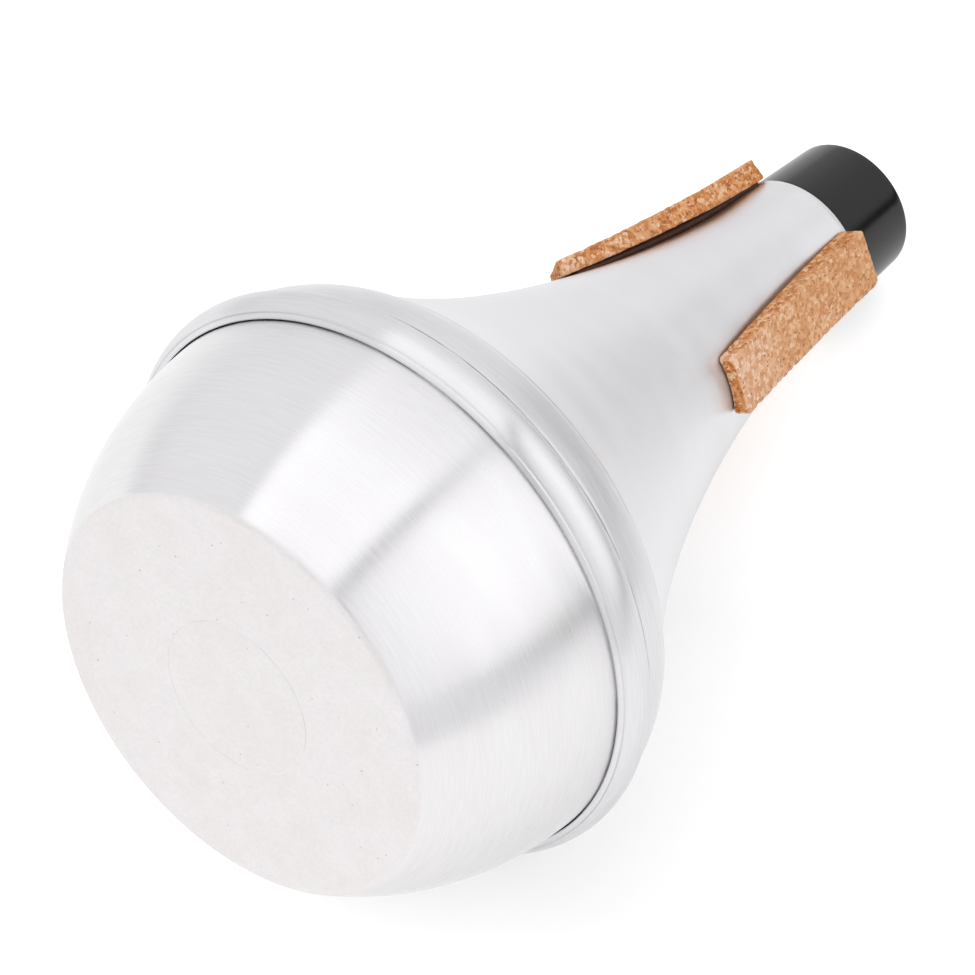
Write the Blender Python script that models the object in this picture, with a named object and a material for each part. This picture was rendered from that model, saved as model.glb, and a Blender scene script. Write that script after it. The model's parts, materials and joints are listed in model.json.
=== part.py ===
"""Straight mute for a trumpet: two spun aluminium shells joined by a rolled seam, a plastic sleeve and three corks.

Every piece is modelled about the mute's own axis: z = 0 is the flat base, +z runs to the neck and +x points down
once the mute is laid on its side. An empty then lays the finished mute on the floor as it comes to rest by itself,
on its widest band and on the rim of the sleeve, with the neck towards +X.
"""
import math

import bmesh
import bpy
import numpy as np
from mathutils import Matrix, Vector

MM = 0.001

# Sheet, and the clearance between two pieces that touch
SHEET = 0.8
CLEARANCE = 0.3

# Cup: flat base, swelling wall, collar and flange inside the rolled lip
BASE_DIAMETER = 73.2
BASE_CORNER_RADIUS = 2.2
CUP_HEIGHT = 33.5
CUP_RIM_DIAMETER = 98.0
CUP_WALL_SWELL = 2.8

# Rolled band, shoulder ring and the two small steps of the cone
LIP_PROUD = 0.6
BAND_HEIGHT = 5.2
BAND_TOP_PROUD = 2.8
BAND_SWELL = 1.1
STEP_HEIGHT = 1.2
STEP_DEPTH = 1.1
SHOULDER_HEIGHT = 7.9
SHOULDER_DROP = 2.7
SHOULDER_SWELL = 0.5

# Flare and neck of the cone
FLARE_LENGTH = 92.5
FLARE_START_SLOPE = 0.79
FLARE_START_PULL = 33.0
FLARE_END_PULL = 7.0
NECK_DIAMETER = 27.8
NECK_LENGTH = 10.8

# Plastic sleeve in the neck
SLEEVE_NOSE_LENGTH = 17.0
SLEEVE_SHOULDER_DIAMETER = 26.9
SLEEVE_TIP_DIAMETER = 25.2
SLEEVE_WALL = 2.0
SLEEVE_EDGE_RADIUS = 0.6
SPIGOT_LENGTH = 20.0

# Cork strips, sanded flat and thinner towards the base. They hug the round metal across, but lengthwise they are
# stiffer and bridge a share of the flare's hollow
CORK_COUNT = 3
CORK_LENGTH = 48.0
CORK_WIDTH = 11.0
CORK_THICKNESS = 3.2
CORK_BASE_THICKNESS = 2.4
CORK_BRIDGE = 0.75
CORK_END_MARGIN = 0.3
CORK_EDGE_RADIUS = 0.5
CORK_HUG_STEPS = 6

# Smoothness of the turned surfaces
TURN_STEPS = 48


def clear_scene():
    """Empties the scene, so that the script gives the same model each time."""
    for item in list(bpy.data.objects):
        bpy.data.objects.remove(item, do_unlink=True)


def make_material(name, colour, roughness, metallic):
    """One plain surface: its linear colour, roughness and metallic value."""
    material = bpy.data.materials.new(name)
    material.use_nodes = True
    shader = material.node_tree.nodes["Principled BSDF"]
    shader.inputs["Base Color"].default_value = (*colour, 1.0)
    shader.inputs["Roughness"].default_value = roughness
    shader.inputs["Metallic"].default_value = metallic
    return material


# Outlines are lists of (radius, height) pairs in millimetres


def arc(start, end, swell, steps):
    """Points of a circular arc from start to end that bulges by swell to the left of the way it runs."""
    start = Vector(start)
    end = Vector(end)
    chord = end - start
    left = Vector((-chord.y, chord.x)).normalized()
    radius = (chord.length ** 2 / 4 + swell ** 2) / (2 * swell)
    centre = (start + end) / 2 + left * (swell - radius)
    half_turn = math.asin(chord.length / 2 / radius)
    points = []
    for step in range(steps + 1):
        turn = half_turn * (1 - 2 * step / steps)
        points.append(tuple(centre + left * radius * math.cos(turn) - chord.normalized() * radius * math.sin(turn)))
    return points


def flare_curve(start, end, start_slope, start_pull, end_pull, steps):
    """Points of the cone's concave flare: it leaves at a slope and ends along the straight neck."""
    handle_in = (start[0] - start_pull * start_slope, start[1] + start_pull)
    handle_out = (end[0], end[1] - end_pull)
    points = []
    for step in range(steps + 1):
        t = step / steps
        weights = ((1 - t) ** 3, 3 * (1 - t) ** 2 * t, 3 * (1 - t) * t ** 2, t ** 3)
        corners = (start, handle_in, handle_out, end)
        radius = sum(weight * corner[0] for weight, corner in zip(weights, corners))
        height = sum(weight * corner[1] for weight, corner in zip(weights, corners))
        points.append((radius, height))
    return points


def rounded(before, corner, after, radius, steps):
    """Points of a fillet that replaces one corner of an outline."""
    before = Vector(before)
    corner = Vector(corner)
    after = Vector(after)
    back = (before - corner).normalized()
    ahead = (after - corner).normalized()
    half_angle = back.angle(ahead) / 2
    reach = radius / math.tan(half_angle)
    centre = corner + (back + ahead).normalized() * radius / math.sin(half_angle)
    first = corner + back * reach - centre
    last = corner + ahead * reach - centre
    return [tuple(centre + first.slerp(last, step / steps) * radius) for step in range(steps + 1)]


def offset(points, distance):
    """The same outline moved sideways by a distance, to the right of the way it runs."""
    moved = []
    for index, point in enumerate(points):
        here = Vector(point)
        before = Vector(points[max(index - 1, 0)])
        after = Vector(points[min(index + 1, len(points) - 1)])
        into = (here - before).normalized() if index else (after - here).normalized()
        out = (after - here).normalized() if index < len(points) - 1 else into
        along = (into + out).normalized()
        right = Vector((along.y, -along.x))
        moved.append(tuple(here + right * distance / max(into.dot(along), 0.5)))
    return moved


def seam_radius():
    """Outer radius of the cup's wall where the rolled lip meets it."""
    return CUP_RIM_DIAMETER / 2


def band_top():
    """Upper edge of the rolled band."""
    return seam_radius() + BAND_TOP_PROUD, CUP_HEIGHT + BAND_HEIGHT


def shoulder_foot():
    """Lower edge of the shoulder ring, at the foot of the first step."""
    radius, height = band_top()
    return radius - STEP_DEPTH, height + STEP_HEIGHT


def shoulder_top():
    """Upper edge of the shoulder ring."""
    radius, height = shoulder_foot()
    return radius - SHOULDER_DROP, height + SHOULDER_HEIGHT


def flare_foot():
    """Start of the flare, at the foot of the second step."""
    radius, height = shoulder_top()
    return radius - STEP_DEPTH, height + STEP_HEIGHT


def neck_foot():
    """End of the flare, where the straight neck starts."""
    return NECK_DIAMETER / 2, flare_foot()[1] + FLARE_LENGTH


def neck_end():
    """Open cut edge of the aluminium neck."""
    radius, height = neck_foot()
    return radius, height + NECK_LENGTH


def cup_wall(steps):
    """Outer wall of the cup, from the base corner up to the seam."""
    return arc((BASE_DIAMETER / 2, 0.0), (seam_radius(), CUP_HEIGHT), -CUP_WALL_SWELL, steps)


def cup_outline():
    """The cup as one open outline, from the inside of its base round the flange to the outside of its base."""
    flange_top = band_top()[1] - SHEET
    flange_radius = band_top()[0] - SHEET - CLEARANCE
    wall = cup_wall(10)
    corner = rounded((0.0, 0.0), wall[0], wall[1], BASE_CORNER_RADIUS, 4)
    collar = (seam_radius(), flange_top - SHEET)
    outside = corner + wall[1:] + [collar]
    inside = offset([(0.0, 0.0)] + outside, -SHEET)
    inside[0] = (0.0, SHEET)
    inside[-1] = (seam_radius() - SHEET, flange_top)
    flange = [(flange_radius, flange_top), (flange_radius, flange_top - SHEET)]
    return inside + flange + outside[::-1] + [(0.0, 0.0)]


def cone_outside():
    """Outer side of the cone, from the rolled lip up to the cut edge of the neck."""
    lip = (seam_radius() + LIP_PROUD, CUP_HEIGHT)
    band = arc(lip, band_top(), -BAND_SWELL, 6)
    shoulder = arc(shoulder_foot(), shoulder_top(), -SHOULDER_SWELL, 4)
    flare = flare_curve(
        flare_foot(), neck_foot(), FLARE_START_SLOPE, FLARE_START_PULL, FLARE_END_PULL, 16
    )
    return band + shoulder + flare + [neck_end()]


def cone_outline():
    """The cone as one closed outline, down its outer side, round the rolled lip and up its inner side."""
    outside = cone_outside()
    inside = offset(outside, -SHEET)
    lip_tip = (seam_radius() + CLEARANCE, CUP_HEIGHT)
    lip_inside = (lip_tip[0], CUP_HEIGHT + SHEET)
    inside[-1] = (neck_end()[0] - SHEET, neck_end()[1])
    return outside[::-1] + [lip_tip, lip_inside] + inside[1:]


def sleeve_outline():
    """The sleeve as one closed outline, down its outer side from the tip and up its bore."""
    neck_radius, neck_height = neck_end()
    spigot_radius = neck_radius - SHEET - CLEARANCE
    bore_radius = spigot_radius - SLEEVE_WALL
    seat = neck_height + CLEARANCE
    tip = seat + SLEEVE_NOSE_LENGTH
    shoulder = (SLEEVE_SHOULDER_DIAMETER / 2, seat)
    nose = (SLEEVE_TIP_DIAMETER / 2, tip)
    foot = neck_height - SPIGOT_LENGTH
    tip_edge = rounded((bore_radius, tip), nose, shoulder, SLEEVE_EDGE_RADIUS, 3)
    bore_edge = rounded((bore_radius, foot), (bore_radius, tip), nose, SLEEVE_EDGE_RADIUS, 3)
    return tip_edge + [shoulder, (spigot_radius, seat), (spigot_radius, foot), (bore_radius, foot)] + bore_edge


def turned(name, outline, closed, material):
    """A round piece: its outline, turned once about the mute's axis."""
    mesh = bpy.data.meshes.new(name)
    points = [(radius * MM, 0.0, height * MM) for radius, height in outline]
    edges = [(index, index + 1) for index in range(len(points) - 1)]
    if closed:
        edges.append((len(points) - 1, 0))
    mesh.from_pydata(points, edges, [])
    piece = bpy.data.objects.new(name, mesh)
    bpy.context.scene.collection.objects.link(piece)
    screw = piece.modifiers.new("turn", "SCREW")
    screw.axis = "Z"
    screw.steps = TURN_STEPS
    screw.render_steps = TURN_STEPS
    screw.use_merge_vertices = True
    screw.merge_threshold = 0.00001
    screw.use_smooth_shade = True
    mesh.materials.append(material)
    return piece


def cork_path():
    """Stations along the middle of a cork's underside, from its base end to its neck end.

    Each gives the place, the outward direction and how tightly the metal curves across the strip there.
    """
    outside = cone_outside()
    end_radius, end_height = neck_end()
    path = outside[:-1] + [(end_radius, end_height - CORK_END_MARGIN)]
    lengths = [(Vector(b) - Vector(a)).length for a, b in zip(path, path[1:])]
    skipped = sum(lengths) - CORK_LENGTH
    stations = []
    covered = 0.0
    for (a, b), length in zip(zip(path, path[1:]), lengths):
        along = (Vector(b) - Vector(a)).normalized()
        if covered + length > skipped:
            if not stations:
                stations.append(Vector(a) + along * (skipped - covered))
            stations.append(Vector(b))
        covered += length
    base_end = stations[0]
    neck_side = stations[-1]
    bridged = []
    for place in stations:
        share = (place.y - base_end.y) / (neck_side.y - base_end.y)
        bridged.append(place.lerp(base_end.lerp(neck_side, share), CORK_BRIDGE))
    path = []
    for index, (place, lifted) in enumerate(zip(stations, bridged)):
        along = (bridged[min(index + 1, len(bridged) - 1)] - bridged[max(index - 1, 0)]).normalized()
        outward = Vector((along.y, -along.x))
        path.append((lifted, outward, place.x / outward.x))
    return path


def cork_mesh():
    """One cork strip, bent lengthwise along the cone, with a flat top and an underside that hugs the round metal."""
    shape = bmesh.new()
    rings = []
    path = cork_path()
    base_height = path[0][0].y
    reach = path[-1][0].y - base_height
    for place, outward, bend_radius in path:
        share = (place.y - base_height) / reach
        thickness = CORK_BASE_THICKNESS + (CORK_THICKNESS - CORK_BASE_THICKNESS) * share
        section = []
        for step in range(CORK_HUG_STEPS + 1):
            across = (step / CORK_HUG_STEPS - 0.5) * CORK_WIDTH
            section.append((across, CLEARANCE - bend_radius + math.sqrt(bend_radius ** 2 - across ** 2)))
        section += [(CORK_WIDTH / 2, CLEARANCE + thickness), (-CORK_WIDTH / 2, CLEARANCE + thickness)]
        ring = []
        for across, up in section:
            radius, height = place + outward * up
            ring.append(shape.verts.new((radius * MM, across * MM, height * MM)))
        rings.append(ring)
    for near, far in zip(rings, rings[1:]):
        for index in range(len(near)):
            after = (index + 1) % len(near)
            shape.faces.new((near[index], near[after], far[after], far[index]))
    shape.faces.new(rings[0][::-1])
    shape.faces.new(rings[-1])
    bmesh.ops.recalc_face_normals(shape, faces=shape.faces)
    mesh = bpy.data.meshes.new("cork_strip")
    shape.to_mesh(mesh)
    shape.free()
    return mesh


def cork_strip(name, mesh, turn):
    """A cork strip at its place round the neck."""
    piece = bpy.data.objects.new(name, mesh)
    bpy.context.scene.collection.objects.link(piece)
    piece.rotation_euler.z = turn
    soften = piece.modifiers.new("soften", "BEVEL")
    soften.width = CORK_EDGE_RADIUS * MM
    soften.segments = 2
    soften.limit_method = "ANGLE"
    soften.angle_limit = math.radians(40.0)
    return piece


def corners_of(pieces):
    """Every corner of the finished pieces, and the triangles between them."""
    bpy.context.view_layer.update()
    graph = bpy.context.evaluated_depsgraph_get()
    corners = []
    triangles = []
    for piece in pieces:
        finished = piece.evaluated_get(graph)
        mesh = finished.to_mesh()
        mesh.calc_loop_triangles()
        first = len(corners)
        corners.extend(finished.matrix_world @ vertex.co for vertex in mesh.vertices)
        triangles.extend([first + index for index in triangle.vertices] for triangle in mesh.loop_triangles)
        finished.to_mesh_clear()
    return np.array([tuple(corner) for corner in corners]), np.array(triangles)


def balance_point(corners, triangles):
    """Centre of the solids' volume."""
    a, b, c = (corners[triangles[:, index]] for index in range(3))
    volumes = np.einsum("ij,ij->i", a, np.cross(b, c))
    return (volumes[:, None] * (a + b + c) / 4).sum(axis=0) / volumes.sum()


def resting_tilt(corners, triangles):
    """How far the axis dips towards the neck when the mute lies on the side that +x points to."""
    points = sorted(((z, x) for x, y, z in corners.round(7)), key=lambda point: (point[0], -point[1]))
    hull = []
    for point in points:
        while len(hull) > 1:
            (z0, x0), (z1, x1) = hull[-2:]
            if (z1 - z0) * (point[1] - x0) - (x1 - x0) * (point[0] - z0) < 0:
                break
            hull.pop()
        hull.append(point)
    balance = balance_point(corners, triangles)
    for (z0, x0), (z1, x1) in zip(hull, hull[1:]):
        along = Vector((z1 - z0, x1 - x0))
        reach = Vector((balance[2] - z0, balance[0] - x0)).dot(along.normalized())
        if 0 <= reach <= along.length:
            return math.atan2(x0 - x1, z1 - z0)
    raise ValueError("the mute finds no two places to rest on")


def lay_down(pieces):
    """Hangs the pieces on an empty that lays the mute on the floor, centred over the origin."""
    corners, triangles = corners_of(pieces)
    turn = math.pi / 2 + resting_tilt(corners, triangles)
    laid = corners @ np.array(Matrix.Rotation(turn, 3, "Y")).T
    low = laid.min(axis=0)
    high = laid.max(axis=0)
    rest = bpy.data.objects.new("rest", None)
    bpy.context.scene.collection.objects.link(rest)
    rest.rotation_euler.y = turn
    rest.location = (-(low[0] + high[0]) / 2, -(low[1] + high[1]) / 2, -low[2])
    for piece in pieces:
        piece.parent = rest


def build():
    """Makes the six pieces and lays the mute down."""
    clear_scene()
    cup_metal = make_material("cup_aluminium", (0.80, 0.79, 0.79), 0.32, 1.0)
    cone_metal = make_material("cone_aluminium", (0.76, 0.76, 0.77), 0.38, 1.0)
    plastic = make_material("black_plastic", (0.022, 0.022, 0.025), 0.42, 0.0)
    cork = make_material("granulated_cork", (0.62, 0.34, 0.17), 0.85, 0.0)
    pieces = [
        turned("base_cup", cup_outline(), False, cup_metal),
        turned("cone_body", cone_outline(), True, cone_metal),
        turned("neck_sleeve", sleeve_outline(), True, plastic),
    ]
    strip = cork_mesh()
    strip.materials.append(cork)
    for index in range(CORK_COUNT):
        pieces.append(cork_strip(f"cork_strip_{index + 1}", strip, index * math.tau / CORK_COUNT))
    lay_down(pieces)


build()
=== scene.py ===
"""Looks of a trumpet straight mute: two spun aluminium shells, an ABS sleeve and three glued cork strips.

Every piece is drawn about the mute's own axis in millimetres, z from the base to the neck and +x down, and is then
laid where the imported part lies.
"""
import json
import math

import bmesh
import bpy
from mathutils import Matrix, Vector, noise


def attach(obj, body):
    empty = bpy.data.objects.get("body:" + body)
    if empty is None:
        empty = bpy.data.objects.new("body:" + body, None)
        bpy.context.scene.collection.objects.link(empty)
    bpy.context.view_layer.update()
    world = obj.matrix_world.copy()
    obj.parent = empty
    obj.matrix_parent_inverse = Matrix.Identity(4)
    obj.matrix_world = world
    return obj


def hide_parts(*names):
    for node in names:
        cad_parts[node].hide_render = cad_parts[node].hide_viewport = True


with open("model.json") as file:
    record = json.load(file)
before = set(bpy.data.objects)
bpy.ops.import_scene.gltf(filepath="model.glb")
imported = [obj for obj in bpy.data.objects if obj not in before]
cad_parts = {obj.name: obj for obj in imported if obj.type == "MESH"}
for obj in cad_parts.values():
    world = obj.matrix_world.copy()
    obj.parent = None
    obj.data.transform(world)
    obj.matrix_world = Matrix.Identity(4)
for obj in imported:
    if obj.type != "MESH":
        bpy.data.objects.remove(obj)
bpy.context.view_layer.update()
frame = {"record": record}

MM = 0.001
BASE_FACE = frame["record"]["mounts"][0]

# Sizes of the mute, as the part has them
SHEET = 0.8
CLEARANCE = 0.3
BASE_RADIUS = 36.6
BASE_CORNER_RADIUS = 2.2
CUP_HEIGHT = 33.5
CUP_RIM_RADIUS = 49.0
CUP_WALL_SWELL = 2.8
LIP_PROUD = 0.6
BAND_TOP = (51.8, 38.7)
BAND_SWELL = 1.1
SHOULDER_FOOT = (50.7, 39.9)
SHOULDER_TOP = (48.0, 47.8)
SHOULDER_SWELL = 0.5
FLARE_FOOT = (46.9, 49.0)
FLARE_HANDLE_IN = (20.83, 82.0)
FLARE_HANDLE_OUT = (13.9, 134.5)
NECK_FOOT = (13.9, 141.5)
NECK_END = (13.9, 152.3)
SLEEVE_TIP = (12.6, 169.6)
SLEEVE_SHOULDER_RADIUS = 13.45
SLEEVE_FOOT_HEIGHT = 132.3
SPIGOT_RADIUS = 12.8
BORE_RADIUS = 10.8
CORK_LENGTH = 48.0
CORK_WIDTH = 11.0
CORK_THICKNESS = 3.2
CORK_BASE_THICKNESS = 2.4
CORK_BRIDGE = 0.75
CORK_END_HEIGHT = 152.0
# How much longer each strip is on one side than in the middle, at its base end and at its neck end: cut by hand
CORK_ASKEW = ((0.3, 0.2), (3.0, 1.2), (0.0, 0.3))

TURN_STEPS = 192


def linear(hex_colour):
    """A colour written as sRGB hex, turned into the linear one that the shaders take."""
    channels = [int(hex_colour[start:start + 2], 16) / 255 for start in (1, 3, 5)]
    return (*(c / 12.92 if c <= 0.04045 else ((c + 0.055) / 1.055) ** 2.4 for c in channels), 1.0)


def add(tree, kind, inputs=None, **settings):
    """One node with its settings; each input is a value or another node's output."""
    made = tree.nodes.new(kind)
    for name, value in settings.items():
        setattr(made, name, value)
    for socket, value in (inputs or {}).items():
        if isinstance(value, bpy.types.NodeSocket):
            tree.links.new(value, made.inputs[socket])
        else:
            made.inputs[socket].default_value = value
    return made


def new_material(name):
    """An empty material, and its node tree with only the output in it."""
    material = bpy.data.materials.new(name)
    material.use_nodes = True
    tree = material.node_tree
    tree.nodes.clear()
    return material, tree, tree.nodes.new("ShaderNodeOutputMaterial")


# Finishes


def spun_aluminium(name, tints, roughness, anisotropy, contrast, line_depth):
    """Spun aluminium, rubbed with fine abrasive while it turned: rings round the axis, and light drawn out across."""
    material, tree, output = new_material(name)
    lathe = add(tree, "ShaderNodeAttribute", attribute_name="lathe").outputs["Vector"]
    # The real scratches are 0.02 to 0.1 mm apart, too fine to show, so they are drawn about 0.4 mm apart, and short
    ring_place = add(tree, "ShaderNodeVectorMath", {0: lathe, 1: (7.0, 7.0, 2.6)}, operation="MULTIPLY")
    rings = add(tree, "ShaderNodeTexNoise", {"Vector": ring_place.outputs[0], "Scale": 1.0, "Detail": 4.0})
    # Passes of the rubbing pad, about 6 mm wide
    pass_place = add(tree, "ShaderNodeVectorMath", {0: lathe, 1: (1.4, 1.4, 0.16)}, operation="MULTIPLY")
    passes = add(tree, "ShaderNodeTexNoise", {"Vector": pass_place.outputs[0], "Scale": 1.0, "Detail": 2.0})
    plain = add(
        tree, "ShaderNodeMix", {0: passes.outputs[0], 6: linear(tints[0]), 7: linear(tints[1])}, data_type="RGBA"
    )
    scratch = add(tree, "ShaderNodeMapRange", {0: rings.outputs[0], 1: 0.3, 2: 0.7, 3: 1.0 - contrast, 4: 1.0 + contrast})
    tint = add(tree, "ShaderNodeVectorMath", {0: plain.outputs[2], "Scale": scratch.outputs[0]}, operation="SCALE")
    worn = add(tree, "ShaderNodeMapRange", {0: passes.outputs[0], 1: 0.3, 2: 0.7, 3: roughness - 0.02, 4: roughness + 0.02})
    lined = add(tree, "ShaderNodeMapRange", {0: rings.outputs[0], 1: 0.3, 2: 0.7, 3: -0.03, 4: 0.03})
    rough = add(tree, "ShaderNodeMath", {0: worn.outputs[0], 1: lined.outputs[0]}, operation="ADD")
    relief = add(tree, "ShaderNodeBump", {"Height": rings.outputs[0], "Distance": line_depth * MM, "Strength": 1.0})
    around = add(tree, "ShaderNodeTangent", direction_type="UV_MAP", uv_map="around")
    shader = add(
        tree,
        "ShaderNodeBsdfPrincipled",
        {
            "Base Color": tint.outputs[0],
            "Metallic": 1.0,
            "Roughness": rough.outputs[0],
            "Anisotropic": anisotropy,
            "Anisotropic Rotation": 0.25,
            "Normal": relief.outputs[0],
            "Tangent": around.outputs[0],
        },
    )
    tree.links.new(shader.outputs[0], output.inputs[0])
    return material


def pressed_aluminium(name):
    """Aluminium that the follower block held while the cup was spun: never rubbed, so matte, mottled and pitted."""
    material, tree, output = new_material(name)
    place = add(tree, "ShaderNodeTexCoord").outputs["Object"]
    # Soft clouds about 9 mm across, smears about 3 mm across, and grit marks of about 0.4 mm
    clouds = add(tree, "ShaderNodeTexNoise", {"Vector": place, "Scale": 110.0, "Detail": 3.0})
    smears = add(tree, "ShaderNodeTexNoise", {"Vector": place, "Scale": 320.0, "Detail": 4.0, "Distortion": 0.6})
    grit = add(tree, "ShaderNodeTexNoise", {"Vector": place, "Scale": 1600.0, "Detail": 3.0})
    tint = shades(tree, clouds.outputs[0], [(0.35, "#EEEAE9"), (0.55, "#F2EFEF"), (0.7, "#F4F1F3")])
    smeared = add(tree, "ShaderNodeMapRange", {0: smears.outputs[0], 1: 0.3, 2: 0.7, 3: 0.985, 4: 1.01})
    worn = add(tree, "ShaderNodeMapRange", {0: grit.outputs[0], 1: 0.25, 2: 0.75, 3: 0.97, 4: 1.03})
    shade = add(tree, "ShaderNodeMath", {0: smeared.outputs[0], 1: worn.outputs[0]}, operation="MULTIPLY")
    speckled = add(tree, "ShaderNodeVectorMath", {0: tint, "Scale": shade.outputs[0]}, operation="SCALE")
    # Pits of about 0.3 mm, in clusters with clear stretches between them
    spots = add(tree, "ShaderNodeTexVoronoi", {"Vector": place, "Scale": 420.0, "Randomness": 1.0})
    pit = add(tree, "ShaderNodeMapRange", {0: spots.outputs["Distance"], 1: 0.05, 2: 0.1, 3: 1.0, 4: 0.0})
    kind = add(tree, "ShaderNodeSeparateColor", {0: spots.outputs["Color"]})
    few = add(tree, "ShaderNodeMath", {0: kind.outputs[0], 1: 0.62}, operation="GREATER_THAN")
    pitted = add(tree, "ShaderNodeMath", {0: pit.outputs[0], 1: few.outputs[0]}, operation="MULTIPLY")
    soiled = add(tree, "ShaderNodeMath", {0: pitted.outputs[0], 1: 0.45}, operation="MULTIPLY")
    soil = shades(tree, kind.outputs[1], [(0.4, "#8C8886"), (0.8, "#C8AE98")])
    colour = add(tree, "ShaderNodeMix", {0: soiled.outputs[0], 6: speckled.outputs[0], 7: soil}, data_type="RGBA")
    rough = add(tree, "ShaderNodeMapRange", {0: clouds.outputs[0], 1: 0.3, 2: 0.7, 3: 0.48, 4: 0.66})
    sunk = add(tree, "ShaderNodeMath", {0: pitted.outputs[0], 1: -3.0, 2: grit.outputs[0]}, operation="MULTIPLY_ADD")
    relief = add(tree, "ShaderNodeBump", {"Height": sunk.outputs[0], "Distance": 0.012 * MM, "Strength": 1.0})
    shader = add(
        tree,
        "ShaderNodeBsdfPrincipled",
        {
            "Base Color": colour.outputs[2],
            "Metallic": 1.0,
            "Roughness": rough.outputs[0],
            "Normal": relief.outputs[0],
        },
    )
    tree.links.new(shader.outputs[0], output.inputs[0])
    return material


def painted_groove_shade(name, tints):
    """Painted shade for a crease or a tool mark: dull aluminium, darker than the rest."""
    material, tree, output = new_material(name)
    place = add(tree, "ShaderNodeTexCoord").outputs["Object"]
    # The painted shade varies in stretches of about 8 mm
    patches = add(tree, "ShaderNodeTexNoise", {"Vector": place, "Scale": 120.0, "Detail": 3.0})
    tint = shades(tree, patches.outputs[0], [(0.35, tints[0]), (0.62, tints[1])])
    shader = add(
        tree,
        "ShaderNodeBsdfPrincipled",
        {"Base Color": tint, "Metallic": 1.0, "Roughness": 0.55},
    )
    tree.links.new(shader.outputs[0], output.inputs[0])
    return material


def painted_seam_shade(name):
    """Painted shade in the gap of the rolled seam: near black and matte, broken by greyer spots."""
    material, tree, output = new_material(name)
    place = add(tree, "ShaderNodeTexCoord").outputs["Object"]
    # Greyer spots of 2 to 3 mm in the painted shade
    spots = add(tree, "ShaderNodeTexNoise", {"Vector": place, "Scale": 350.0, "Detail": 3.0})
    tint = shades(tree, spots.outputs[0], [(0.42, "#0C0C0D"), (0.68, "#6A6A6C")])
    # The painted shade fades to pale grey towards one side (-y), but for some stretches about 15 mm long
    side = add(tree, "ShaderNodeSeparateXYZ", {0: place}).outputs[1]
    toward_pale_side = add(tree, "ShaderNodeMapRange", {0: side, 1: 0.022, 2: -0.004, 3: 0.0, 4: 1.0})
    stretches = add(tree, "ShaderNodeTexNoise", {"Vector": place, "Scale": 60.0, "Detail": 1.0})
    fade_share = add(tree, "ShaderNodeMapRange", {0: stretches.outputs[0], 1: 0.52, 2: 0.6, 3: 1.0, 4: 0.7})
    shade_fade = add(tree, "ShaderNodeMath", {0: toward_pale_side.outputs[0], 1: fade_share.outputs[0]}, operation="MULTIPLY")
    colour = add(tree, "ShaderNodeMix", {0: shade_fade.outputs[0], 6: tint, 7: linear("#E0E0E2")}, data_type="RGBA")
    shader = add(tree, "ShaderNodeBsdfPrincipled", {"Base Color": colour.outputs[2], "Roughness": 0.8})
    tree.links.new(shader.outputs[0], output.inputs[0])
    return material


def moulded_abs(name):
    """Black ABS, moulded with a satin texture: soft wide highlights and a fine grain."""
    material, tree, output = new_material(name)
    place = add(tree, "ShaderNodeTexCoord").outputs["Object"]
    # Spark-eroded grain of about 0.25 mm
    grain = add(tree, "ShaderNodeTexNoise", {"Vector": place, "Scale": 4000.0, "Detail": 2.0})
    handled = add(tree, "ShaderNodeTexNoise", {"Vector": place, "Scale": 90.0, "Detail": 3.0})
    tint = add(
        tree, "ShaderNodeMix", {0: handled.outputs[0], 6: linear("#060608"), 7: linear("#0B0B0D")}, data_type="RGBA"
    )
    rough = add(tree, "ShaderNodeMapRange", {0: handled.outputs[0], 1: 0.3, 2: 0.7, 3: 0.16, 4: 0.2})
    relief = add(tree, "ShaderNodeBump", {"Height": grain.outputs[0], "Distance": 0.004 * MM, "Strength": 1.0})
    shader = add(
        tree,
        "ShaderNodeBsdfPrincipled",
        {
            "Base Color": tint.outputs[2],
            "Roughness": rough.outputs[0],
            "IOR": 1.52,
            "Specular IOR Level": 0.38,
            "Normal": relief.outputs[0],
        },
    )
    tree.links.new(shader.outputs[0], output.inputs[0])
    return material


def shades(tree, position, colours):
    """A colour ramp over positions from 0 to 1, given as (position, sRGB hex) pairs."""
    ramp = add(tree, "ShaderNodeValToRGB", {0: position})
    stops = ramp.color_ramp.elements
    while len(stops) < len(colours):
        stops.new(0.5)
    for stop, (where, colour) in zip(stops, colours):
        stop.position = where
        stop.color = linear(colour)
    return ramp.outputs[0]


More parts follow.
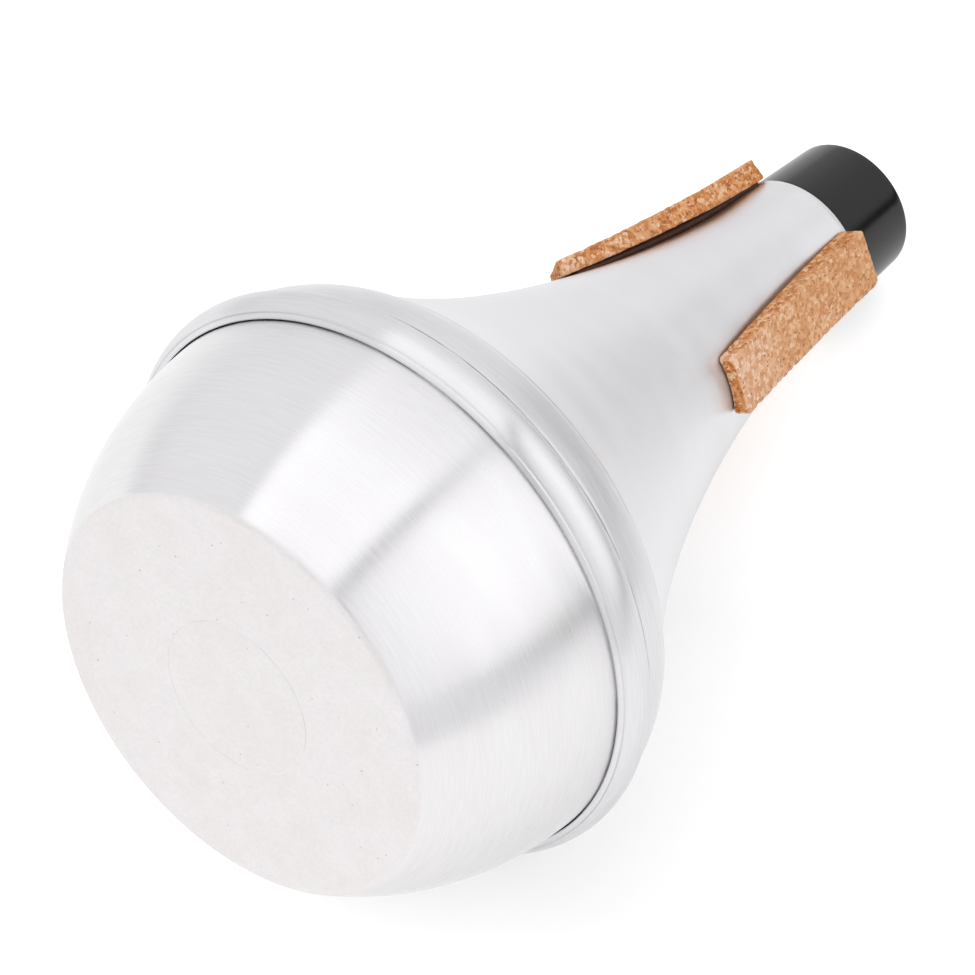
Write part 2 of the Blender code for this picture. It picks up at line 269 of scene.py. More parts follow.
def granulated_cork(name):
    """Granulated cork, cut from a pressed block: grains bound tight, tan where sanded and orange where sawn, matte."""
    material, tree, output = new_material(name)
    place = add(tree, "ShaderNodeTexCoord").outputs["Object"]
    cut = add(tree, "ShaderNodeSeparateXYZ", {0: add(tree, "ShaderNodeAttribute", attribute_name="cut").outputs["Vector"]})
    bend = add(tree, "ShaderNodeTexNoise", {"Vector": place, "Scale": 1500.0, "Detail": 2.0})
    pushed = add(tree, "ShaderNodeVectorMath", {0: bend.outputs[1], 1: (0.0012, 0.0012, 0.0012)}, operation="MULTIPLY")
    warped = add(tree, "ShaderNodeVectorMath", {0: place, 1: pushed.outputs[0]}, operation="ADD").outputs[0]
    # Grains about 0.7 mm across, each of a tone of its own
    grains = add(tree, "ShaderNodeTexVoronoi", {"Vector": warped, "Scale": 1400.0, "Randomness": 1.0})
    tone = add(tree, "ShaderNodeSeparateColor", {0: grains.outputs["Color"]})
    fibres = add(tree, "ShaderNodeTexNoise", {"Vector": place, "Scale": 2600.0, "Detail": 4.0, "Roughness": 0.7})
    patches = add(tree, "ShaderNodeTexNoise", {"Vector": place, "Scale": 220.0, "Detail": 3.0})
    mixed_tone = add(tree, "ShaderNodeMix", {0: 0.45, 2: tone.outputs[0], 3: fibres.outputs[0]})
    sanded = shades(
        tree,
        mixed_tone.outputs[0],
        [(0.12, "#AB6A3C"), (0.27, "#CF905F"), (0.5, "#DFA678"), (0.68, "#E8B489"), (0.85, "#F6D8BA")],
    )
    sawn = shades(
        tree,
        mixed_tone.outputs[0],
        [(0.14, "#7E3D14"), (0.32, "#C07033"), (0.5, "#D48E54"), (0.68, "#E3A672"), (0.85, "#FBE3C4")],
    )
    # Sanding dust whitens the base end
    dusted = shades(
        tree,
        mixed_tone.outputs[0],
        [(0.12, "#C0845A"), (0.27, "#DCA279"), (0.5, "#E9B792"), (0.68, "#F4CFB2"), (0.85, "#FFEEDD")],
    )
    dust = add(tree, "ShaderNodeMix", {0: cut.outputs[1], 6: sanded, 7: dusted}, data_type="RGBA")
    rubbed = add(tree, "ShaderNodeMapRange", {0: patches.outputs[0], 1: 0.56, 2: 0.64, 3: 0.8, 4: 0.3})
    side = add(tree, "ShaderNodeMath", {0: cut.outputs[0], 1: rubbed.outputs[0]}, operation="MULTIPLY")
    rawness = add(tree, "ShaderNodeMath", {0: side.outputs[0], 1: cut.outputs[2]}, operation="MAXIMUM")
    ground = add(tree, "ShaderNodeMix", {0: rawness.outputs[0], 6: dust.outputs[2], 7: sawn}, data_type="RGBA")
    # Crumbs of bark, about one to the square millimetre
    crumbs = add(tree, "ShaderNodeTexVoronoi", {"Vector": warped, "Scale": 900.0, "Randomness": 1.0})
    bark = add(tree, "ShaderNodeMapRange", {0: crumbs.outputs["Distance"], 1: 0.16, 2: 0.24, 3: 0.75, 4: 0.0})
    colour = add(tree, "ShaderNodeMix", {0: bark.outputs[0], 6: ground.outputs[2], 7: linear("#9A5A2C")}, data_type="RGBA")
    height = add(
        tree, "ShaderNodeMath", {0: fibres.outputs[0], 1: 0.8, 2: grains.outputs["Distance"]}, operation="MULTIPLY_ADD"
    )
    relief = add(tree, "ShaderNodeBump", {"Height": height.outputs[0], "Distance": 0.15 * MM, "Strength": 1.0})
    shader = add(
        tree,
        "ShaderNodeBsdfPrincipled",
        {
            "Base Color": colour.outputs[2],
            "Roughness": 0.88,
            "Specular IOR Level": 0.3,
            "Normal": relief.outputs[0],
        },
    )
    tree.links.new(shader.outputs[0], output.inputs[0])
    return material


def glue_with_painted_shade(name):
    """Contact glue, brushed on and squeezed out under the cork: dark brown and half glossy, its dark colour also the
    painted shade of the hollow under the strip.
    """
    material, tree, output = new_material(name)
    place = add(tree, "ShaderNodeTexCoord").outputs["Object"]
    lumps = add(tree, "ShaderNodeTexNoise", {"Vector": place, "Scale": 700.0, "Detail": 3.0})
    tint = add(
        tree, "ShaderNodeMix", {0: lumps.outputs[0], 6: linear("#24120A"), 7: linear("#56331D")}, data_type="RGBA"
    )
    relief = add(tree, "ShaderNodeBump", {"Height": lumps.outputs[0], "Distance": 0.1 * MM, "Strength": 1.0})
    shader = add(
        tree,
        "ShaderNodeBsdfPrincipled",
        {"Base Color": tint.outputs[2], "Roughness": 0.5, "Normal": relief.outputs[0]},
    )
    tree.links.new(shader.outputs[0], output.inputs[0])
    return material


# Outlines, as lists of (radius, height)


def arc(start, end, swell, steps):
    """Points of an arc from start to end that bulges by swell to the left of the way it runs."""
    start = Vector(start)
    end = Vector(end)
    chord = end - start
    left = Vector((-chord.y, chord.x)).normalized()
    radius = (chord.length ** 2 / 4 + swell ** 2) / (2 * swell)
    centre = (start + end) / 2 + left * (swell - radius)
    half_turn = math.asin(chord.length / 2 / radius)
    points = []
    for step in range(steps + 1):
        turn = half_turn * (1 - 2 * step / steps)
        points.append(tuple(centre + left * radius * math.cos(turn) - chord.normalized() * radius * math.sin(turn)))
    return points


def flare_curve(steps):
    """Points of the cone's concave flare, from the second step to the straight neck."""
    points = []
    for step in range(steps + 1):
        t = step / steps
        weights = ((1 - t) ** 3, 3 * (1 - t) ** 2 * t, 3 * (1 - t) * t ** 2, t ** 3)
        corners = (FLARE_FOOT, FLARE_HANDLE_IN, FLARE_HANDLE_OUT, NECK_FOOT)
        points.append(tuple(sum(w * corner[axis] for w, corner in zip(weights, corners)) for axis in (0, 1)))
    return points


def rounded(before, corner, after, radius, steps=6):
    """Points of a fillet that replaces one corner of an outline."""
    corner = Vector(corner)
    back = (Vector(before) - corner).normalized()
    ahead = (Vector(after) - corner).normalized()
    half_angle = back.angle(ahead) / 2
    reach = radius / math.tan(half_angle)
    centre = corner + (back + ahead).normalized() * radius / math.sin(half_angle)
    first = corner + back * reach - centre
    last = corner + ahead * reach - centre
    return [tuple(centre + first.slerp(last, step / steps) * radius) for step in range(steps + 1)]


def offset(points, distance):
    """The same outline moved sideways by a distance, to the right of the way it runs."""
    moved = []
    for index, point in enumerate(points):
        here = Vector(point)
        before = Vector(points[max(index - 1, 0)])
        after = Vector(points[min(index + 1, len(points) - 1)])
        into = (here - before).normalized() if index else (after - here).normalized()
        out = (after - here).normalized() if index < len(points) - 1 else into
        along = (into + out).normalized()
        right = Vector((along.y, -along.x))
        moved.append(tuple(here + right * distance / max(into.dot(along), 0.5)))
    return moved


def pressed_line(before, corner, after):
    """Points of an inner corner that the spinning roller has pressed a little deeper, which shows as a dark line;
    painted shade on the crease darkens it further.
    """
    corner = Vector(corner)
    back = (Vector(before) - corner).normalized()
    ahead = (Vector(after) - corner).normalized()
    return [tuple(corner + back * 0.28), tuple(corner - (back + ahead).normalized() * 0.14), tuple(corner + ahead * 0.28)]


def spaced(start, end, step):
    """Evenly spaced points of a straight stretch, without its last point."""
    start = Vector(start)
    end = Vector(end)
    count = max(1, round((end - start).length / step))
    return [tuple(start.lerp(end, index / count)) for index in range(count)]


def place(mesh, name, materials):
    """Makes the object of a finished mesh, laid down with the mute and riding on it."""
    axis = -Vector(BASE_FACE["axis"]).normalized()
    across = Vector((0.0, 1.0, 0.0))
    turn = Matrix((across.cross(axis), across, axis)).transposed().to_4x4()
    mesh.transform(Matrix.Translation(BASE_FACE["pos_m"]) @ turn)
    piece = bpy.data.objects.new(name, mesh)
    bpy.context.scene.collection.objects.link(piece)
    for material in materials:
        mesh.materials.append(material)
    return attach(piece, "root")


def turned(name, runs, materials, closed=True):
    """A round piece: its outline turned once about the axis. Each run of points names the finish it gets."""
    shape = bmesh.new()
    lathe = shape.verts.layers.float_vector.new("lathe")
    grain = shape.loops.layers.uv.new("around")
    rings = []
    finishes = []
    travelled = 0.0
    last = None
    for points, finish in runs:
        for radius, height in points:
            travelled += math.dist(last, (radius, height)) if last else 0.0
            last = (radius, height)
            count = 1 if radius < 1e-6 else TURN_STEPS
            ring = []
            for step in range(count):
                turn = math.tau * step / TURN_STEPS
                vertex = shape.verts.new((radius * math.cos(turn) * MM, radius * math.sin(turn) * MM, height * MM))
                vertex[lathe] = (math.cos(turn), math.sin(turn), travelled)
                ring.append(vertex)
            rings.append(ring)
            finishes.append(finish)
    pairs = list(zip(rings, rings[1:], finishes[1:]))
    if closed:
        pairs.append((rings[-1], rings[0], finishes[0]))
    for near, far, finish in pairs:
        for step in range(TURN_STEPS):
            after = (step + 1) % TURN_STEPS
            corners = [near[step % len(near)], near[after % len(near)], far[after % len(far)], far[step % len(far)]]
            face = shape.faces.new(list(dict.fromkeys(corners)))
            face.material_index = finish
            face.smooth = True
            for loop in face.loops:
                beyond = loop.vert == near[after % len(near)] or loop.vert == far[after % len(far)]
                loop[grain].uv = ((step + beyond) / TURN_STEPS, loop.vert[lathe].z / 400)
    bmesh.ops.recalc_face_normals(shape, faces=shape.faces)
    mesh = bpy.data.meshes.new(name)
    shape.to_mesh(mesh)
    shape.free()
    return place(mesh, name, materials)


# The shells and the sleeve

WALL, BASE, SEAM, CREASE = 0, 1, 2, 3
TOOL_MARK_RADIUS = 14.0


def spun_cup(wall_finish, base_finish, seam_shade_material, mark_shade_material):
    """The cup: pressed base, rounded corner, swelling wall, and the collar and flange inside the rolled lip."""
    flange_top = BAND_TOP[1] - SHEET
    flange_radius = BAND_TOP[0] - SHEET - CLEARANCE
    wall = arc((BASE_RADIUS, 0.0), (CUP_RIM_RADIUS, CUP_HEIGHT), -CUP_WALL_SWELL, 32)
    corner = rounded((0.0, 0.0), wall[0], wall[2], BASE_CORNER_RADIUS, 10)
    # A faint ring that the point of the follower block has left in the base
    mark = [(TOOL_MARK_RADIUS - 0.12, 0.0), (TOOL_MARK_RADIUS, 0.03), (TOOL_MARK_RADIUS + 0.12, 0.0)]
    middle = spaced((0.0, 0.0), mark[0], 1.0)
    base = [mark[-1]] + spaced(mark[-1], corner[0], 1.0)[1:]
    wall = [point for point in wall if point[1] > corner[-1][1] + 0.3]
    collar = (CUP_RIM_RADIUS, flange_top - SHEET)
    outside = middle + base + corner + wall + [collar]
    inside = offset(outside, -SHEET)
    inside[0] = (0.0, SHEET)
    inside[-1] = (CUP_RIM_RADIUS - SHEET, flange_top)
    flange = [(flange_radius, flange_top), (flange_radius, flange_top - SHEET), collar]
    runs = [
        (inside + flange, WALL),
        # The seam's slot takes painted shade for its gap
        (wall[:-2:-1], SEAM),
        (wall[-2::-1] + corner[:5:-1], WALL),
        (corner[5::-1] + base[::-1], BASE),
        # The tool mark takes painted shade
        (mark[1::-1], CREASE),
        (middle[::-1], BASE),
    ]
    cup = turned("spun_cup", runs, [wall_finish, base_finish, seam_shade_material, mark_shade_material], closed=False)
    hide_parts("base_cup")


def spun_cone(band_finish, flare_finish, seam_shade_material, crease_shade_material):
    """The cone: rolled lip, proud band, two small steps, the flare, the neck and its cut edge."""
    lip = (CUP_RIM_RADIUS + LIP_PROUD, CUP_HEIGHT)
    band = arc(lip, BAND_TOP, -BAND_SWELL, 32)
    shoulder = arc(SHOULDER_FOOT, SHOULDER_TOP, -SHOULDER_SWELL, 16)
    flare = flare_curve(72)
    lip_tip = (CUP_RIM_RADIUS + CLEARANCE, CUP_HEIGHT)
    band_edge = rounded(band[-4], BAND_TOP, SHOULDER_FOOT, 0.4)
    shoulder_crease = pressed_line(BAND_TOP, SHOULDER_FOOT, shoulder[2])
    shoulder_edge = rounded(shoulder[-3], SHOULDER_TOP, FLARE_FOOT, 0.45)
    flare_crease = pressed_line(SHOULDER_TOP, FLARE_FOOT, flare[1])
    band[5] = (band[5][0] - 0.26, band[5][1] + 0.11)
    horn = flare[1:] + spaced(NECK_FOOT, NECK_END, 1.0)[1:]
    inside = offset([lip] + band[8:-2:4] + [SHOULDER_FOOT] + shoulder[4:-2:4] + [FLARE_FOOT] + horn, -SHEET)
    inside.append((NECK_END[0] - SHEET, NECK_END[1]))
    lip_inside = (lip_tip[0], CUP_HEIGHT + SHEET)
    runs = [
        # The seam's slot takes painted shade for its gap
        ([lip_tip], SEAM),
        ([lip] + band[1:-2] + band_edge + shoulder_crease[:1], WALL),
        # The two pressed creases take painted shade
        (shoulder_crease[1:], CREASE),
        (shoulder[2:-2] + shoulder_edge + flare_crease[:1], WALL),
        (flare_crease[1:], CREASE),
        (horn + [NECK_END], BASE),
        (inside[:0:-1] + [lip_inside], BASE),
    ]
    cone = turned("spun_cone", runs, [band_finish, flare_finish, seam_shade_material, crease_shade_material])
    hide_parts("cone_body")


def moulded_sleeve(finish):
    """The sleeve: a spigot in the neck, a small shoulder on the cut edge and a tapered nose with an open bore."""
    seat = NECK_END[1] + CLEARANCE
    shoulder = (SLEEVE_SHOULDER_RADIUS, seat)
    bore_tip = (BORE_RADIUS, SLEEVE_TIP[1])
    bore_foot = (BORE_RADIUS, SLEEVE_FOOT_HEIGHT)
    spigot_foot = (SPIGOT_RADIUS, SLEEVE_FOOT_HEIGHT)
    tip_edge = rounded(bore_tip, SLEEVE_TIP, shoulder, 0.6)
    seat_edge = rounded(SLEEVE_TIP, shoulder, (SPIGOT_RADIUS, seat), 0.2)
    nose = spaced(tip_edge[-1], seat_edge[0], 1.0)[1:]
    spigot = spaced((SPIGOT_RADIUS, seat), spigot_foot, 2.0)
    bore = spaced(bore_foot, bore_tip, 2.0)[1:]
    bore_edge = rounded(bore_foot, bore_tip, SLEEVE_TIP, 0.6)
    outline = tip_edge + nose + seat_edge + spigot + rounded(spigot[-1], spigot_foot, bore_foot, 0.3)
    outline += rounded(spigot_foot, bore_foot, bore_tip, 0.3) + bore[:-1] + bore_edge
    sleeve = turned("moulded_sleeve", [(outline, WALL)], [finish])
    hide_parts("neck_sleeve")


# Cork strips and their glue, whose dark colour also paints the shade in the hollows under them


def cork_path(distances):
    """Where a cork lies at some distances from its base end: on the cone, under the stiff strip, and its way out.

    The last values of each are the way along the metal and how tightly the metal curves across the strip.
    """
    outside = flare_curve(200) + spaced(NECK_FOOT, (NECK_FOOT[0], CORK_END_HEIGHT), 0.25)[1:]
    outside.append((NECK_FOOT[0], CORK_END_HEIGHT))
    travelled = [0.0]
    for near, far in zip(outside, outside[1:]):
        travelled.append(travelled[-1] + math.dist(near, far))
    seats = []
    index = 0
    for distance in [0.0] + distances + [CORK_LENGTH]:
        wanted = travelled[-1] - CORK_LENGTH + distance
        while index < len(outside) - 2 and travelled[index + 1] < wanted:
            index += 1
        share = (wanted - travelled[index]) / (travelled[index + 1] - travelled[index])
        seats.append(Vector(outside[index]).lerp(Vector(outside[index + 1]), share))
    first = seats[0]
    last = seats[-1]
    bridged = [seat.lerp(first.lerp(last, (seat.y - first.y) / (last.y - first.y)), CORK_BRIDGE) for seat in seats]
    stations = []
    for index in range(1, len(seats) - 1):
        along = (bridged[index + 1] - bridged[index - 1]).normalized()
        outward = Vector((along.y, -along.x))
        ahead = (seats[index + 1] - seats[index - 1]).normalized()
        stations.append((seats[index], bridged[index], outward, ahead, seats[index].x / outward.x))
    return stations


def cork_section(half_width, low, high, radius, gap):
    """The rounded outline of a cork's cross-section, as (across, up) points about a gap apart."""
    corners = [(-half_width, low), (half_width, low), (half_width, high), (-half_width, high)]
    counts = (round(CORK_WIDTH / gap), round(CORK_THICKNESS / gap))
    bends = [rounded(corners[index - 1], corners[index], corners[(index + 1) % 4], radius, 2) for index in range(4)]
    points = []
    for index in range(4):
        start = Vector(bends[index][-1])
        after = Vector(bends[(index + 1) % 4][0])
        count = counts[index % 2]
        points.extend(bends[index])
        points.extend(tuple(start.lerp(after, step / count)) for step in range(1, count))
    return points


def sagged(across, bend_radius):
    """How far metal that curves with a radius falls away at a distance from the strip's middle line."""
    return bend_radius - math.sqrt(bend_radius ** 2 - across ** 2)


def rounding(distance, radius):
    """How far a rounded end draws in at a distance from the end."""
    return radius - math.sqrt(radius ** 2 - (radius - min(distance, radius)) ** 2)


def crumbled(spot, edge, number):
    """How far a spot of a cork's skin lies in, in millimetres: grains all over, and chips along the cut edges."""
    spot = spot + Vector((number * 37.0, number * 11.0, 0.0))
    grain = min(1.0, max(0.0, 0.5 + noise.noise(spot / 0.7)))
    chip = max(0.0, noise.noise(spot / 1.3) - 0.05) * max(0.0, 1.0 - edge)
    return 0.10 * grain + 0.4 * chip


def tube_of(rings, name):
    """A closed mesh through rings of equally many points, in metres, turned smooth."""
    shape = bmesh.new()
    made = [[shape.verts.new(spot * MM) for spot in ring] for ring in rings]
    for near, far in zip(made, made[1:]):
        for index in range(len(near)):
            after = (index + 1) % len(near)
            shape.faces.new((near[index], near[after], far[after], far[index]))
    shape.faces.new(made[0][::-1])
    shape.faces.new(made[-1])
    bmesh.ops.recalc_face_normals(shape, faces=shape.faces)
    for face in shape.faces:
        face.smooth = True
    mesh = bpy.data.meshes.new(name)
    shape.to_mesh(mesh)
    shape.free()
    return mesh


def cork_strip(number, turn, cork):
    """One cork strip: flat on top, hugging the cone below, bent lengthwise, thinner at its base end, grainy, worn."""
    gap = 0.4
    count = round(CORK_LENGTH / gap)
    distances = [0.0, 0.05, 0.18] + [CORK_LENGTH * step / count for step in range(1, count)]
    distances += [CORK_LENGTH - 0.18, CORK_LENGTH - 0.05, CORK_LENGTH]
    rings = []
    edges = []
    cuts = []
    base_askew, neck_askew = CORK_ASKEW[number - 1]
    for distance, (_, under, outward, ahead, bend_radius) in zip(distances, cork_path(distances)):
        askew = neck_askew * max(0.0, distance / 10.0 - 3.8) - base_askew * max(0.0, 1.0 - distance / 14.0)
        from_end = min(distance, CORK_LENGTH - distance)
        rubbed = max(math.exp(-((distance - 9.0 * number) / 4.0) ** 2), float(distance < 2.5))
        thickness = CORK_BASE_THICKNESS + (CORK_THICKNESS - CORK_BASE_THICKNESS) * distance / CORK_LENGTH
        half_width = CORK_WIDTH / 2 - rounding(from_end, 1.1)
        draw_in = rounding(from_end, 0.45)
        low = CLEARANCE + draw_in
        high = CLEARANCE + thickness - draw_in
        ring = []
        for across, up in cork_section(half_width, low, high, 0.4, gap):
            hug = sagged(across, bend_radius) * (high - up) / (high - low)
            spot = under + outward * (up - hug) + ahead * askew * across * 2 / CORK_WIDTH
            ring.append(Vector((spot.x, across, spot.y)))
            edges.append(min(half_width - abs(across), from_end) if up > low + 0.8 else 1.0)
            raw = 1.0 - 0.7 * rubbed if up < high - 0.3 else 0.0
            cuts.append((raw, max(0.0, 1.0 - distance / 20.0), float(from_end < 0.1)))
        rings.append(ring)
    caps = []
    for ring in (rings[0], rings[-1]):
        middle = sum(ring, Vector()) / len(ring)
        caps.append([[middle.lerp(spot, share) for spot in ring] for share in (0.25, 0.5, 0.75)])
        inner = 3 * len(ring)
        edges = [1.0] * inner + edges if len(caps) == 1 else edges + [1.0] * inner
        cuts = [(1.0, 0.0, 1.0)] * inner + cuts if len(caps) == 1 else cuts + [(1.0, 0.0, 1.0)] * inner
    mesh = tube_of(caps[0] + rings + caps[1][::-1], f"cork_{number}")
    skin = [(vertex.co / MM, vertex.normal.copy()) for vertex in mesh.vertices]
    for vertex, (spot, out), edge in zip(mesh.vertices, skin, edges):
        vertex.co = (spot - out * crumbled(spot, edge, number)) * MM
    marks = mesh.attributes.new("cut", "FLOAT_VECTOR", "POINT")
    for mark, cut in zip(marks.data, cuts):
        mark.vector = cut
    mesh.transform(Matrix.Rotation(turn, 4, "Z"))
    strip = place(mesh, f"cork_{number}", [cork])
    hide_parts(f"cork_strip_{number}")


def glue_bead(number, turn, glue_shade):
    """The glue under one cork: it fills the hollow between the strip and the cone, set in from its edges, and its dark
    colour paints the shade in that hollow.
    """
    count = 60
    distances = [0.8 + (CORK_LENGTH - 1.6) * step / count for step in range(count + 1)]
    rings = []
    for distance, (seat, under, outward, _, bend_radius) in zip(distances, cork_path(distances)):
        from_end = min(distance, CORK_LENGTH - distance)
        hollow = (under - seat).length
        inset = 0.7 + 1.4 * hollow - 0.5 * noise.noise(Vector((distance * 0.35, number * 9.7, 0.0)))
        half_width = CORK_WIDTH / 2 - inset - rounding(from_end, 1.1)
        across_steps = [(-1 + 2 * step / 12) * half_width for step in range(13)]
        top = [under + outward * (CLEARANCE + 0.05 - sagged(across, bend_radius)) for across in across_steps]
        foot = [seat - outward * (0.05 + sagged(across, bend_radius)) for across in across_steps]
        sides = list(zip(across_steps, top)) + list(zip(across_steps, foot))[::-1]
        rings.append([Vector((spot.x, across, spot.y)) for across, spot in sides])
    mesh = tube_of(rings, f"glue_{number}")
    mesh.transform(Matrix.Rotation(turn, 4, "Z"))
    bead = place(mesh, f"glue_{number}", [glue_shade])


# Studio


def pale_floor():
    """A wide pale floor whose glow shows it white to the camera and the metal, weaker near the mute as painted shade,
    and which still takes the mute's shadow.
    """
    mesh = bpy.data.meshes.new("floor")
    half = 0.9
    far_end = 0.34
    mesh.from_pydata([(-half, -half, 0), (far_end, -half, 0), (far_end, half, 0), (-half, half, 0)], [], [(0, 1, 2, 3)])
    floor = bpy.data.objects.new("floor", mesh)
    bpy.context.scene.collection.objects.link(floor)
    material, tree, output = new_material("white_paper")
    paper = add(tree, "ShaderNodeBsdfDiffuse", {"Color": linear("#EFEFEF")})
    path = add(tree, "ShaderNodeLightPath")
    seen = add(tree, "ShaderNodeMath", {0: path.outputs["Is Glossy Ray"], 1: 0.45, 2: path.outputs["Is Camera Ray"]}, operation="MULTIPLY_ADD")
    # The floor's glow is painted weaker on the near side of the mute, a painted shade, so that its shadow shows there
    # and fades away from it
    spot = add(tree, "ShaderNodeNewGeometry").outputs["Position"]
    away = add(tree, "ShaderNodeVectorMath", {0: spot, 1: (-0.02, -0.04, 0.0)}, operation="DISTANCE")
    strength = add(tree, "ShaderNodeMapRange", {0: away.outputs["Value"], 1: 0.03, 2: 0.09, 3: 0.28, 4: 0.5})
    lift = add(tree, "ShaderNodeEmission", {"Color": (1.0, 1.0, 1.0, 1.0), "Strength": strength.outputs[0]})
    both = add(tree, "ShaderNodeAddShader", {0: paper.outputs[0], 1: lift.outputs[0]})
    mixed = add(tree, "ShaderNodeMixShader", {0: seen.outputs[0], 1: paper.outputs[0], 2: both.outputs[0]})
    tree.links.new(mixed.outputs[0], output.inputs[0])
    mesh.materials.append(material)


def studio_world():
    """White surroundings in the reflections, dark past the table's far edge, and a plain grey fill light."""
    world = bpy.data.worlds.new("studio")
    bpy.context.scene.world = world
    world.use_nodes = True
    tree = world.node_tree
    tree.nodes.clear()
    path = add(tree, "ShaderNodeLightPath")
    direct = add(tree, "ShaderNodeMath", {0: path.outputs["Is Camera Ray"], 1: path.outputs["Is Glossy Ray"]}, operation="MAXIMUM")
    shown = add(tree, "ShaderNodeMath", {0: direct.outputs[0], 1: path.outputs["Is Transmission Ray"]}, operation="MAXIMUM")
    fill = add(tree, "ShaderNodeBackground", {"Color": (1.0, 1.0, 1.0, 1.0), "Strength": 0.76})
    # In reflections the room past the table's edge shows as a band low all round, darkest past the far corner
    heading = add(tree, "ShaderNodeTexCoord").outputs["Generated"]
    corner = add(tree, "ShaderNodeVectorMath", {0: heading, 1: (0.82, -0.57, 0.0)}, operation="DOT_PRODUCT")
    turned_away = add(tree, "ShaderNodeMath", {0: corner.outputs["Value"], 1: 0.5, 2: 0.5}, operation="MULTIPLY_ADD")
    room = shades(
        tree, turned_away.outputs[0], [(0.2, "#EAEAEC"), (0.83, "#E6E6E8"), (0.9, "#707072"), (0.96, "#060608")]
    )
    height = add(tree, "ShaderNodeSeparateXYZ", {0: heading}).outputs[2]
    low = add(tree, "ShaderNodeMapRange", {0: height, 1: 0.04, 2: 0.11, 3: 1.0, 4: 0.0}, interpolation_type="SMOOTHSTEP")
    # The unlit gap between the two softboxes, seen as a thin dark streak along the wall
    across = add(tree, "ShaderNodeVectorMath", {0: heading, 1: (0.0, 0.9588, 0.284)}, operation="DOT_PRODUCT")
    off = add(tree, "ShaderNodeMath", {0: across.outputs["Value"]}, operation="ABSOLUTE")
    gap = add(tree, "ShaderNodeMapRange", {0: off.outputs[0], 1: 0.018, 2: 0.04, 3: 1.0, 4: 0.0}, interpolation_type="SMOOTHSTEP")
    sideways = add(tree, "ShaderNodeSeparateXYZ", {0: heading}).outputs[0]
    ends = add(tree, "ShaderNodeMapRange", {0: sideways, 1: 0.15, 2: 0.5, 3: 1.0, 4: 0.0}, interpolation_type="SMOOTHSTEP")
    streak = add(tree, "ShaderNodeMath", {0: gap.outputs[0], 1: ends.outputs[0]}, operation="MULTIPLY")
    # Grey behind the overhead softbox, whose light adds to what is behind it, so that the wall's top isn't burnt out
    above = add(tree, "ShaderNodeVectorMath", {0: heading, 1: (-0.14, 0.175, 0.975)}, operation="DOT_PRODUCT")
    ceiling = add(
        tree,
        "ShaderNodeMapRange",
        {0: above.outputs["Value"], 1: 0.84, 2: 0.94, 3: 0.0, 4: 1.0},
        interpolation_type="SMOOTHSTEP",
    )
    upper = add(
        tree, "ShaderNodeMix", {0: ceiling.outputs[0], 6: linear("#F6F6F7"), 7: linear("#C0C0C2")}, data_type="RGBA"
    )
    nearby = add(tree, "ShaderNodeMix", {0: low.outputs[0], 6: upper.outputs[2], 7: room}, data_type="RGBA")
    studio = add(tree, "ShaderNodeMix", {0: streak.outputs[0], 6: nearby.outputs[2], 7: linear("#101012")}, data_type="RGBA")
    around = add(
        tree,
        "ShaderNodeMix",
        {0: path.outputs["Is Glossy Ray"], 6: (1.0, 1.0, 1.0, 1.0), 7: studio.outputs[2]},
        data_type="RGBA",
    )
    white = add(tree, "ShaderNodeBackground", {"Color": around.outputs[2], "Strength": 1.0})
    mixed = add(tree, "ShaderNodeMixShader", {0: shown.outputs[0], 1: fill.outputs[0], 2: white.outputs[0]})
    output = add(tree, "ShaderNodeOutputWorld", {0: mixed.outputs[0]})
    output.is_active_output = True


def softbox(name, centre, aim, size, brightness):
    """A soft rectangular lamp; its long side runs along the floor's X."""
    lamp = bpy.data.lights.new(name, "AREA")
    lamp.shape = "RECTANGLE"
    lamp.size, lamp.size_y = size
    lamp.energy = brightness * math.pi * size[0] * size[1]
    holder = bpy.data.objects.new(name, lamp)
    bpy.context.scene.collection.objects.link(holder)
    back = (Vector(centre) - Vector(aim)).normalized()
    long_side = Vector((1.0, 0.0, 0.0))
    long_side = (long_side - back * long_side.dot(back)).normalized()
    turn = Matrix((long_side, back.cross(long_side), back)).transposed().to_4x4()
    holder.matrix_world = Matrix.Translation(centre) @ turn
    holder.visible_camera = False


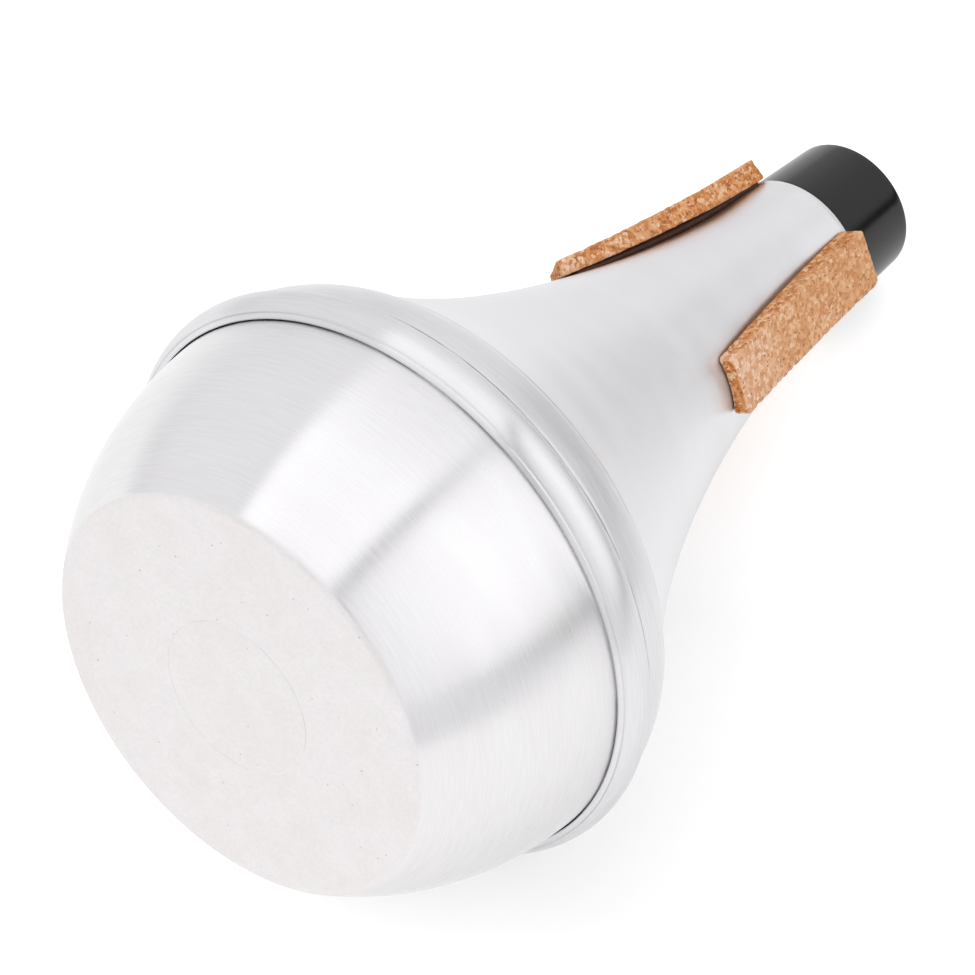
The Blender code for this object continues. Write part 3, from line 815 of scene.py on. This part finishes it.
def photo_camera():
    """The photograph's view: a long lens from high on the base's side, tipped a little clockwise."""
    camera = bpy.data.cameras.new("camera")
    camera.sensor_width = 36.0
    camera.lens = 173.127
    holder = bpy.data.objects.new("camera", camera)
    bpy.context.scene.collection.objects.link(holder)
    eye = Vector((-0.3210949, -0.2866622, 0.6921200))
    aim = Vector((-0.013915, 0.002135, 0.0400))
    turn = (aim - eye).to_track_quat("-Z", "Y").to_matrix().to_4x4() @ Matrix.Rotation(math.radians(-5.457), 4, "Z")
    holder.matrix_world = Matrix.Translation(eye) @ turn
    camera.clip_start = 0.01
    bpy.context.scene.camera = holder


wall = spun_aluminium("spun_aluminium_wall", ("#EEEDEE", "#F3F1F2"), 0.31, 1.0, 0.045, 0.006)
band = spun_aluminium("spun_aluminium_band", ("#E6E5E7", "#ECEBED"), 0.34, 0.97, 0.05, 0.006)
flare = spun_aluminium("spun_aluminium_flare", ("#E9E9EB", "#EFEFF1"), 0.46, 0.8, 0.012, 0.002)
# Painted shade for the gap in the rolled seam
seam_shade = painted_seam_shade("painted_seam_shade")
# Painted shade for the base's tool mark, and below for the cone's creases
mark = painted_groove_shade("tool_mark_painted_shade", ("#E2DFDF", "#F3F0F0"))
spun_cup(wall, pressed_aluminium("pressed_aluminium_base"), seam_shade, mark)
spun_cone(band, flare, seam_shade, painted_groove_shade("crease_painted_shade", ("#B8B8BA", "#E4E4E6")))
moulded_sleeve(moulded_abs("moulded_abs"))
cork = granulated_cork("granulated_cork")
# The glue's dark brown also paints the shade in the hollow under each cork
glue_shade = glue_with_painted_shade("glue_with_painted_shade")
for strip in range(3):
    cork_strip(strip + 1, strip * math.tau / 3, cork)
    glue_bead(strip + 1, strip * math.tau / 3, glue_shade)

pale_floor()
studio_world()
softbox("overhead_softbox", (-0.20, 0.245, 1.42), (0.0, 0.0, 0.05), (1.6, 1.27), 0.7)
softbox("side_softbox", (0.35, -1.03, 0.92), (0.0, 0.0, 0.07), (1.2, 1.62), 0.5)
photo_camera()
bpy.context.scene.view_settings.view_transform = "Standard"
